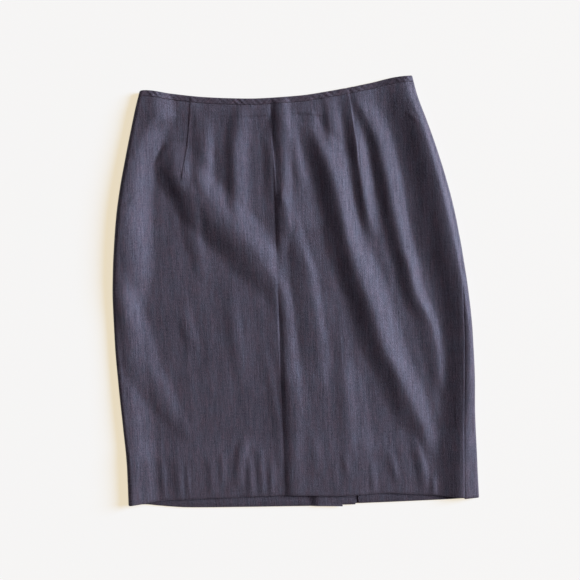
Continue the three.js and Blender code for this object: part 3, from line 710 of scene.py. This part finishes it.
def left_back_place(across, y):
    """The right side fold and the underside out to the vent's edge, then back as the facing."""
    edge = CENTRE_BACK.x(y) + GAP / 2
    past = across - across_under(1, edge, y)
    angle = np.clip(past / TURN_ROLL, 0, math.pi)
    lift = pull_lift(edge, y, PULL_RAMP)
    x = edge - TURN_ROLL * np.sin(angle) + np.maximum(past - TURN_WAY, 0)
    turned = np.stack([x, y, lift + TURN_ROLL * (1 - np.cos(angle))], -1)
    return np.where((past <= 0)[..., None], tube(across, y), turned)


def back_left_cloth():
    """The back, wearer's left half, from the right side seam over the right side fold to the
    centre back, with the facing of the vent."""
    def knots(y):
        seam = FRONT_HALF.width(y) + SEAM_CLEAR
        _, roll, reach = side_fold(1, y)
        edge = CENTRE_BACK.x(y) + GAP / 2
        centre = across_under(1, edge, y)
        behind_facing = across_under(1, edge + FACING_WIDE, y)
        rolled = np.maximum(seam + 6, reach + roll)
        return [seam, seam + 4, rolled, behind_facing - HEM_SLOT, behind_facing, centre,
                centre + TURN_WAY, centre + TURN_WAY + FACING_WIDE]

    steps = [4, 16, 52, 2, 16, 6, 16]
    hemmed, plain = sum(steps[:3]), sum(steps[:5])
    columns, count = stops(knots, steps)

    def keep(column, y, turned):
        facing = (column <= plain) | (y < VENT_TOP)
        return facing & ((column <= hemmed) | (turned < HEM_CUT))

    return cloth_piece("back_left_cloth", columns, count, BACK_ROWS, left_back_place,
                       left_back_hem, 1, keep)


# The binding's section from its outer lip over the top edge to its inner lip: how far up the
# strip, and how deep into it
BINDING_SECTION = np.array([
    (1.8, 1.0), (0.4, 0.98), (0.05, 0.7), (0.12, 0.3), (0.6, 0.02), (1.8, 0), (3.2, 0), (4.6, 0),
    (6.0, 0), (7.4, 0.02), (8.4, 0.16), (8.9, 0.6), (9.0, 1.2), (8.9, 1.8), (8.4, 2.24),
    (7.4, 2.38), (5, 2.4), (2, 2.4), (0.6, 2.38), (0.1, 2.1), (0.05, 1.7), (0.4, 1.42), (1.8, 1.4),
])
BINDING_CLOTH = 0.34
WRINKLED = (-176, 196)


def binding_place(across, y):
    """The binding's outer face, which lies flat on the floor under the skirt."""
    point = tube(across, y, BINDING_PROUD)
    side = np.where(across < 0, -1.0, 1.0)
    _, roll, reach = side_fold(side, y, BINDING_PROUD)
    point[..., 2] = np.where(np.abs(across) > reach + roll, 0, point[..., 2])
    return point


def binding_wrinkles(around, up):
    """Slanting drag lines in the bias-cut strip, none alike."""
    first = np.sin(2 * math.pi * (around + 0.9 * up) / 8.3 + 1.9 * np.sin(around / 29))
    second = np.sin(2 * math.pi * (around + 1.5 * up) / 13.1 + 2.3 * np.sin(around / 21 + 1))
    strength = 0.55 + 0.45 * np.sin(around / 37) * np.sin(around / 13 + 2)
    return 0.27 * strength * (first + second)


def binding_row(across, up):
    """Where a place on the binding is: across is the way round, and up the way up the strip."""
    y = np.full_like(across, WAIST_Y - BINDING_TALL / 2)
    for _ in range(5):
        y = binding_top(binding_place(across, y)) - BINDING_TALL + up
    return y


def binding_ends(y):
    """The ways round to the centre back, on the wearer's right and left."""
    centre = CENTRE_BACK.x(y)
    return across_under(-1.0, centre - GAP, y), across_under(1.0, centre + GAP, y)


def binding_cloth():
    wide = 560
    piece, i, j = grid_piece("binding_cloth", wide, len(BINDING_SECTION) - 1)
    up, depth = BINDING_SECTION[j].T
    y = np.full_like(up, WAIST_Y - BINDING_TALL)
    for _ in range(3):
        start, end = binding_ends(y)
        across = mix(start, end, i / wide)
        y = binding_row(across, up)
    on_face = plateau(up, 1.5, 7.5, 1.5) * (depth < 0.5)
    depth = depth - binding_wrinkles(across, up) * on_face * plateau(across, *WRINKLED, 8)
    points = binding_place(across, y) - normal_at(binding_place, across, y) * depth[:, None]
    # the strip is cut on the bias, so its threads run at 45 degrees
    along = up + np.where(depth > BINDING_THICK / 2, -2 * up, 0)
    set_points(piece, points, np.stack([across - along, across + along], -1) * math.sqrt(0.5))
    thicken(piece, BINDING_CLOTH)
    return piece


def joined(name, pieces):
    """One mesh of many pieces, its object at the origin."""
    bpy.ops.object.select_all(action="DESELECT")
    for piece in pieces:
        piece.select_set(True)
    bpy.context.view_layer.objects.active = pieces[0]
    bpy.ops.object.join()
    piece = bpy.context.object
    piece.name = piece.data.name = name
    bpy.ops.object.transform_apply()
    return piece


def copy_of(piece):
    copy = piece.copy()
    copy.data = piece.data.copy()
    bpy.context.collection.objects.link(copy)
    return copy


# The stitches that hold the binding, in the ditch along its lower edge
STITCH_LONG = 2.3
STITCH_STEP = 2.9
STITCH_UP = -0.1
STITCH_DEEP = 0.45
THREAD = 0.34


def binding_stitches():
    bpy.ops.mesh.primitive_uv_sphere_add(segments=6, ring_count=5, radius=THREAD / 2 * MM)
    stitch = bpy.context.object
    stitch.scale = (STITCH_LONG / THREAD, 1, 1)
    bpy.ops.object.transform_apply()
    start, end = binding_ends(np.array(WAIST_Y - BINDING_TALL))
    count = int((end - start) / STITCH_STEP)
    across = np.linspace(start + STITCH_STEP, end - STITCH_STEP, count)
    up = np.full_like(across, STITCH_UP)
    y = binding_row(across, up)
    out = normal_at(binding_place, across, y)
    middle = in_metres(binding_place(across, y) - out * STITCH_DEEP)
    behind, ahead = (binding_place(at, binding_row(at, up)) for at in (across - 1, across + 1))
    along = (ahead - behind) / np.linalg.norm(ahead - behind, axis=-1, keepdims=True)
    side = np.cross(out, along)
    axes = np.stack([along, side, np.cross(along, side)], -1)
    copies = []
    for k in range(count):
        matrix = np.eye(4)
        matrix[:3, :3] = axes[k]
        matrix[:3, 3] = middle[k]
        copies.append(copy_of(stitch))
        copies[-1].matrix_world = Matrix(matrix)
    bpy.data.objects.remove(stitch)
    return joined("binding_stitches", copies)


# The tape's own thickness, and how high it lies on the inside of the back
TAPE_CLOTH = 0.4
TAPE_RISE = CLOTH + GAP + 0.1
# The ridge where the two tapes meet
RIDGE_TALL = 0.18
RIDGE_WIDE = 0.9


def tape_place(offset, y):
    """The inside of the back over the centre back seam, with a ridge where the tapes meet."""
    x = CENTRE_BACK.x(y) + offset
    ridge = RIDGE_TALL * np.exp(-((offset / RIDGE_WIDE) ** 2))
    return np.stack([x, y, pull_lift(x, y, PULL_RAMP) + TAPE_RISE + ridge], -1)


def tape_cloth():
    wide, tall = 26, 90
    piece, i, j = grid_piece("tape_cloth", wide, tall)
    offset = (i / wide - 0.5) * TAPE_WIDE
    y = mix(TAPE_Y[0], TAPE_Y[1], j / tall)
    set_points(piece, tape_place(offset, y), np.stack([offset, y], -1))
    thicken(piece, -TAPE_CLOTH)
    return piece


# The nylon coil that closes the two tapes: flat loops of wire, a pitch apart
COIL_PITCH = 1.3
COIL_WIDE = 3.4
COIL_TALL = 0.8
COIL_WIRE = 0.3
COIL_LEAN = math.radians(12)
LOOP_ASIDE = 0.21 * COIL_WIDE
COIL_FOOT = 6
COIL_HEAD = 1


def zip_coil():
    """One loop for each side, repeated up the tape."""
    loops = []
    for side in (-1, 1):
        bpy.ops.mesh.primitive_torus_add(
            major_segments=12, minor_segments=5, major_radius=COIL_WIDE / 4 * MM,
            minor_radius=COIL_WIRE / 2 * MM, rotation=(math.pi / 2, 0, side * COIL_LEAN),
        )
        loop = bpy.context.object
        bpy.ops.object.transform_apply()
        loop.scale.z = COIL_TALL / (COIL_WIDE / 2 + COIL_WIRE)
        loop.location = (side * LOOP_ASIDE * MM, side * COIL_PITCH / 4 * MM, 0)
        loops.append(loop)
    piece = joined("zip_coil", loops)
    first, last = TAPE_Y[0] + COIL_FOOT, TAPE_Y[1] - COIL_HEAD
    count = int((last - first) / COIL_PITCH)
    lean = float(CENTRE_BACK.x(last) - CENTRE_BACK.x(first)) / (last - first)
    modify(piece, "ARRAY", count=count, use_relative_offset=False, use_constant_offset=True,
           constant_offset_displace=(lean * COIL_PITCH * MM, COIL_PITCH * MM, 0))
    move_to(piece, CENTRE_BACK.x(first), first, TAPE_RISE + TAPE_CLOTH + COIL_TALL / 2)
    lift_over_pull(piece)
    return piece


def lift_over_pull(piece):
    """Lifts the end that rides over the pull tab, as the cloth there does."""
    points = points_of(piece) / MM - SHIFT
    centre = CENTRE_BACK.x(points[:, 1])
    points[:, 2] += pull_lift(centre, points[:, 1], PULL_RAMP)
    piece.data.vertices.foreach_set("co", in_metres(points).ravel())


def metal_block(size, middle, taper=1.0, radius=0.25):
    """A die-cast block with its low end narrowed and its edges rounded."""
    bpy.ops.mesh.primitive_cube_add(size=1)
    block = bpy.context.object
    block.scale = [side * MM for side in size]
    bpy.ops.object.transform_apply()
    edit_faces(block, [face.normal.y < -0.5 for face in block.data.polygons])
    bpy.ops.transform.resize(value=(taper, 1, 1))
    bpy.ops.object.mode_set(mode="OBJECT")
    modify(block, "BEVEL", width=radius * MM, segments=3, limit_method="ANGLE")
    move_to(block, *middle)
    return block


# The slider's plates, the outer one proud of the cloth, with the rails on the inner one, and the
# bridge's two posts and its bar
SLIDER_PLATE = 0.62
SLIDER_PROUD = 0.2
SLIDER_TAPER = 0.7
RAIL = 0.5
RAIL_LONG = SLIDER_LONG - 1.4
RAIL_ASIDE = SLIDER_WIDE / 2 - 0.55
NECK = (1.5, 2.6, SLIDER_TALL - 0.4)
POST = (1.1, 0.6, 1.2)
BAR = (1.1, 2.5, 0.32)


def slider_body():
    """Two tapered plates on a neck, the coil between them, and on the outside the bridge that
    the pull tab hangs from."""
    low, high = SLIDER_Y
    x, y = float(CENTRE_BACK.x(mix(low, high, 0.5))), mix(low, high, 0.5)
    under = PULL_LIFT + SLIDER_PLATE / 2 - SLIDER_PROUD
    over = PULL_LIFT + SLIDER_TALL - SLIDER_PLATE / 2
    plate, rail = (SLIDER_WIDE, SLIDER_LONG, SLIDER_PLATE), (RAIL, RAIL_LONG, RAIL)
    bridge_y, post_z = PULL_Y[1] - 0.9, PULL_LIFT - 0.45
    blocks = [
        metal_block(plate, (x, y, under), taper=SLIDER_TAPER),
        metal_block(plate, (x, y, over), taper=SLIDER_TAPER),
        metal_block(NECK, (x, high - 1.7, PULL_LIFT + SLIDER_TALL / 2)),
        metal_block(rail, (x - RAIL_ASIDE, y + 0.5, over - 0.5)),
        metal_block(rail, (x + RAIL_ASIDE, y + 0.5, over - 0.5)),
        metal_block(POST, (x, bridge_y + 0.75, post_z), radius=0.2),
        metal_block(POST, (x, bridge_y - 1.15, post_z), radius=0.2),
        metal_block(BAR, (x, bridge_y - 0.2, 0.36), radius=0.12),
    ]
    return joined("slider_body", blocks)


def ring_points(radius, middle_y, count, start=0.0, end=2 * math.pi):
    turns = np.linspace(start, end, count, endpoint=end - start < 2 * math.pi)
    return [(radius * math.cos(t), middle_y + radius * math.sin(t)) for t in turns]


PULL_BEVEL = 0.16
PULL_NECK = 0.31 * PULL_WIDE
PULL_EYE = 0.85


def pull_tab():
    """A pressed drop: a round end with a hole, a neck with the eye that hangs on the bridge."""
    half, neck = PULL_WIDE / 2, PULL_NECK
    outline = ring_points(half, half, 25, math.pi, 2 * math.pi)
    outline += [(neck, PULL_LONG - 1.2), (neck - 0.3, PULL_LONG - 0.3), (neck - 0.8, PULL_LONG)]
    outline += [(-x, y) for x, y in outline[:-4:-1]]
    holes = [ring_points(half / 2, half, 24), ring_points(PULL_EYE, PULL_LONG - 1.3, 20)]
    curve = bpy.data.curves.new("pull_tab", "CURVE")
    curve.dimensions = "2D"
    curve.fill_mode = "BOTH"
    curve.bevel_depth = PULL_BEVEL * MM
    curve.bevel_resolution = 2
    curve.extrude = (PULL_THICK / 2 - PULL_BEVEL) * MM
    for loop in [outline, *holes]:
        spline = curve.splines.new("POLY")
        spline.points.add(len(loop) - 1)
        spline.use_cyclic_u = True
        for point, (x, y) in zip(spline.points, loop):
            point.co = (x * MM, y * MM, 0, 1)
    piece = bpy.data.objects.new("pull_tab", curve)
    bpy.context.collection.objects.link(piece)
    select_only(piece)
    bpy.ops.object.convert(target="MESH")
    piece = bpy.context.object
    bpy.ops.object.mode_set(mode="EDIT")
    bpy.ops.mesh.select_all(action="SELECT")
    bpy.ops.mesh.remove_doubles(threshold=0.01 * MM)
    bpy.ops.mesh.normals_make_consistent(inside=False)
    bpy.ops.object.mode_set(mode="OBJECT")
    move_to(piece, CENTRE_BACK.x(PULL_Y[1]), PULL_Y[0], PULL_FLOOR_GAP + PULL_THICK / 2)
    return piece


def linear(code):
    """An sRGB hex colour as linear red, green, blue and alpha."""
    parts = [int(code[k:k + 2], 16) / 255 for k in (1, 3, 5)]
    return [c / 12.92 if c <= 0.04045 else ((c + 0.055) / 1.055) ** 2.4 for c in parts] + [1.0]


def new_material(name):
    material = bpy.data.materials.new(name)
    material.use_nodes = True
    return material, material.node_tree, material.node_tree.nodes["Principled BSDF"]


def set_inputs(tree, node, inputs):
    """Gives a node its inputs, each a value or another node's output."""
    for key, value in inputs.items():
        if isinstance(value, bpy.types.NodeSocket):
            tree.links.new(value, node.inputs[key])
        else:
            node.inputs[key].default_value = value


def add(tree, kind, inputs=None, **settings):
    """Adds a node with its inputs and settings."""
    node = tree.nodes.new(kind)
    for key, value in settings.items():
        setattr(node, key, value)
    set_inputs(tree, node, inputs or {})
    return node


def scaled(tree, value, times, plus):
    node = add(tree, "ShaderNodeMath", {0: value, 1: times, 2: plus}, operation="MULTIPLY_ADD")
    return node.outputs[0]


def blend(tree, share, first, second):
    """A share of the way from one colour to another."""
    node = add(tree, "ShaderNodeMix", {0: share, 6: first, 7: second}, data_type="RGBA")
    return node.outputs[2]


def relief(tree, strength, deep, height):
    """Bumps so many millimetres deep, as the shader's normal."""
    inputs = {"Strength": strength, "Distance": deep * MM, "Height": height}
    return add(tree, "ShaderNodeBump", inputs).outputs[0]


# A wave texture at a scale of 1 has its bands this far apart along x; diagonal ones are twice
# as far apart
WAVE_BANDS = math.pi / 10


def grains(tree, wide, detail):
    """Noise in the piece itself, so many millimetres wide."""
    place = add(tree, "ShaderNodeTexCoord").outputs["Object"]
    inputs = {"Vector": place, "Scale": 1 / (wide * MM), "Detail": detail}
    return add(tree, "ShaderNodeTexNoise", inputs).outputs[0]


def streaks(tree, cloth, wide, long, detail=2.0, offset=0.0):
    """Noise on the flat cloth, so many millimetres wide and long."""
    placed = add(tree, "ShaderNodeMapping", {
        "Vector": cloth, "Location": (offset, offset, 0), "Scale": (1 / wide, 1 / long, 1),
    }).outputs[0]
    return add(tree, "ShaderNodeTexNoise", {
        "Vector": placed, "Scale": 1.0, "Detail": detail, "Roughness": 0.6,
    }, noise_dimensions="2D").outputs[0]


def weighted(tree, parts):
    """The sum of values, each times its weight, about a middle of 0.5."""
    total = 0.5 - sum(weight for _, weight in parts) / 2
    for value, weight in parts:
        total = scaled(tree, value, weight, total)
    return total


WEAVE_PITCH = 0.22


def suiting(name, dark, cool, warm, strength):
    """Slub suiting in wool with a little silk: a charcoal yarn with a blue-grey and a mauve one
    gives a streaky melange along the threads, and the silk a soft, low sheen. Its warp threads
    are a fine worsted's 0.22 mm apart."""
    material, tree, shader = new_material(name)
    cloth = add(tree, "ShaderNodeAttribute", attribute_name="cloth").outputs["Vector"]
    fine = streaks(tree, cloth, 1.3, 16, 3)
    slub = streaks(tree, cloth, 2.6, 46, 2, 17)
    weft = streaks(tree, cloth, 13, 1.5, 2, 31)
    speck = streaks(tree, cloth, 1.1, 2.4, 1, 47)
    patch = streaks(tree, cloth, 46, 90, 3, 71)
    dye = streaks(tree, cloth, 7, 24, 3, 93)
    hue = weighted(tree, [(dye, 1.7), (speck, 0.5)])
    light = blend(tree, hue, linear(cool), linear(warm))
    weave = add(tree, "ShaderNodeTexWave", {
        "Vector": cloth, "Scale": WAVE_BANDS / WEAVE_PITCH, "Distortion": 1.6, "Detail": 1.0,
        "Detail Scale": 0.4,
    }, bands_direction="X").outputs[1]
    tone = weighted(tree, [(fine, 0.85), (slub, 0.75), (weft, 0.45), (speck, 1.0), (patch, 0.45)])
    high = weighted(tree, [(fine, 1.0), (slub, 0.9), (weft, 0.35), (speck, 0.8), (weave, 0.25)])
    set_inputs(tree, shader, {
        "Base Color": blend(tree, tone, linear(dark), light),
        "Roughness": scaled(tree, tone, -0.16, 0.62),
        "Normal": relief(tree, strength, 0.16, high),
        "Specular IOR Level": 0.55, "Specular Tint": linear("#c4d0ff"),
        "Sheen Weight": 0.25, "Sheen Roughness": 0.4, "Sheen Tint": linear("#b9bce0"),
    })
    return material


TWIST_PITCH = 0.314


def spun_thread():
    """Polyester sewing thread: charcoal, two strands twisted, a little glossier than the cloth."""
    material, tree, shader = new_material("spun_polyester_thread")
    place = add(tree, "ShaderNodeTexCoord").outputs["Object"]
    twist = add(tree, "ShaderNodeTexWave", {
        "Vector": place, "Scale": 2 * WAVE_BANDS / (TWIST_PITCH * MM), "Distortion": 1.0,
    }, bands_direction="DIAGONAL").outputs[1]
    set_inputs(tree, shader, {
        "Base Color": blend(tree, twist, linear("#17141a"), linear("#2c2832")),
        "Roughness": 0.55, "Normal": relief(tree, 0.6, 0.05, twist),
    })
    return material


HERRINGBONE_PITCH = 0.838


def woven_tape():
    """Polyester zip tape: a fine herringbone, matt, nearly black."""
    material, tree, shader = new_material("herringbone_polyester_tape")
    cloth = add(tree, "ShaderNodeAttribute", attribute_name="cloth").outputs["Vector"]
    folded = add(tree, "ShaderNodeVectorMath", {0: cloth}, operation="ABSOLUTE").outputs[0]
    twill = add(tree, "ShaderNodeTexWave", {
        "Vector": folded, "Scale": 2 * WAVE_BANDS / HERRINGBONE_PITCH, "Distortion": 0.4,
    }, bands_direction="DIAGONAL").outputs[1]
    tone = weighted(tree, [(twill, 0.7), (streaks(tree, cloth, 0.8, 3), 0.5)])
    set_inputs(tree, shader, {
        "Base Color": blend(tree, tone, linear("#1e1b22"), linear("#3d3946")),
        "Roughness": 0.8, "Normal": relief(tree, 0.8, 0.1, tone),
    })
    return material


def dyed_nylon():
    """Nylon monofilament of the coil: smooth, dyed with the tape, a soft gloss."""
    material, tree, shader = new_material("dyed_nylon_monofilament")
    dye = blend(tree, grains(tree, 2, 2.0), linear("#1b181f"), linear("#332f3b"))
    set_inputs(tree, shader, {"Base Color": dye, "Roughness": 0.38, "IOR": 1.53})
    return material


def plated_zinc():
    """Die-cast zinc with a dark nickel plate, tumbled: fine scratches and brighter worn edges."""
    material, tree, shader = new_material("dark_nickel_plated_zinc")
    scratches = grains(tree, 0.6, 4.0)
    edge = add(tree, "ShaderNodeNewGeometry").outputs["Pointiness"]
    worn = add(tree, "ShaderNodeMapRange", {0: edge, 1: 0.52, 2: 0.6}).outputs[0]
    set_inputs(tree, shader, {
        "Base Color": blend(tree, worn, linear("#4a484d"), linear("#a9a7a3")), "Metallic": 1.0,
        "Roughness": scaled(tree, scratches, 0.25, 0.2),
        "Normal": relief(tree, 0.2, 0.02, scratches),
    })
    return material


SMOOTH_UNDER = math.radians(50)


def finish_piece(piece, material, body, slot, *nodes):
    """Gives a piece its finish, smooths it, and sets what it rides on and stands for."""
    piece.data.materials.clear()
    piece.data.materials.append(material)
    select_only(piece)
    bpy.ops.object.shade_smooth_by_angle(angle=SMOOTH_UNDER)
    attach(piece, body)
    if nodes:
        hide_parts(*nodes)


SUITING = suiting("slub_wool_suiting", "#272125", "#4f505c", "#594952", 1.0)
BIAS_SUITING = suiting("bias_cut_slub_suiting", "#211c22", "#575561", "#604f5a", 1.2)
THREAD_FINISH, TAPE_FINISH = spun_thread(), woven_tape()
NYLON, ZINC = dyed_nylon(), plated_zinc()

front = front_cloth()
back_right = back_right_cloth()
back_left = back_left_cloth()
binding = binding_cloth()
stitches = binding_stitches()
tape = tape_cloth()
coil = zip_coil()
slider = slider_body()
pull = pull_tab()

finish_piece(front, SUITING, "skirt", "suiting", "front_panel")
finish_piece(back_right, SUITING, "skirt", "suiting", "back_panel_right")
finish_piece(back_left, SUITING, "skirt", "suiting", "back_panel_left")
finish_piece(binding, BIAS_SUITING, "skirt", "suiting", "waist_binding")
finish_piece(stitches, THREAD_FINISH, "skirt", "suiting")
finish_piece(tape, TAPE_FINISH, "skirt", "zip_tape", "zip_tape")
finish_piece(coil, NYLON, "skirt", "zip_tape")
finish_piece(slider, ZINC, "skirt", "zip_metal", "zip_slider")
finish_piece(pull, ZINC, "pull", "zip_metal", "zip_pull")


CARD_WIDE = 6000
CARD_DROP = 0.2
# The card's own glow: painted light that washes out the shadow on it
CARD_GLOW = 0.795


def floor():
    """A plain card that glows though it is no lamp: a warm emission over a blue-grey base keeps it
    white where lit, and paints the skirt's faint shadow on it warm.
    """
    bpy.ops.mesh.primitive_plane_add(size=CARD_WIDE * MM, location=(0, 0, -CARD_DROP * MM))
    card = bpy.context.object
    card.name = "floor"
    material, tree, shader = new_material("glowing_card_painted_warm_shadow")
    set_inputs(tree, shader, {
        # Blue-grey base under a warm glow: painted light, so the shadow on the card turns warm
        "Base Color": linear("#6588b3"), "Roughness": 0.9,
        "Emission Color": linear("#fff0d1"), "Emission Strength": CARD_GLOW,
    })
    card.data.materials.append(material)


# Daylight comes low from the right, and a little from the waist's side; the room fills the rest
KEY_ELEVATION = math.radians(22.5)
KEY_AZIMUTH = math.radians(12)
KEY_STRENGTH = 6.6
KEY_SOFTNESS = math.radians(26)
KEY_COLOUR = (0.97, 0.98, 1.0)
FILL_STRENGTH = 0.085
FILL_COLOUR = (1.0, 0.7, 0.8, 1)


def lights():
    bpy.ops.object.light_add(type="SUN")
    key = bpy.context.object
    key.name = "window"
    key.rotation_euler = (0, math.pi / 2 - KEY_ELEVATION, KEY_AZIMUTH)
    key.data.energy = KEY_STRENGTH
    key.data.angle = KEY_SOFTNESS
    key.data.color = KEY_COLOUR
    world = bpy.data.worlds.new("room")
    world.use_nodes = True
    background = world.node_tree.nodes["Background"]
    set_inputs(world.node_tree, background, {"Color": FILL_COLOUR, "Strength": FILL_STRENGTH})
    bpy.context.scene.world = world


# Straight down, turned a little about its own line, as the skirt lies in the frame
CAMERA_TURN = math.radians(-2.1)
CAMERA_MIDDLE = (-2.6, 6.5, 3)
CAMERA_HEIGHT = 1600
VIEW_WIDE = 823.6


def camera():
    data = bpy.data.cameras.new("camera")
    data.sensor_width = 36
    data.lens = data.sensor_width * CAMERA_HEIGHT / VIEW_WIDE
    made = bpy.data.objects.new("camera", data)
    bpy.context.collection.objects.link(made)
    above = np.array(CAMERA_MIDDLE) + np.array([0, 0, CAMERA_HEIGHT])
    made.location = in_metres(above).tolist()
    made.rotation_euler = (0, 0, CAMERA_TURN)
    bpy.context.scene.camera = made


floor()
lights()
camera()
bpy.context.scene.view_settings.view_transform = "Standard"
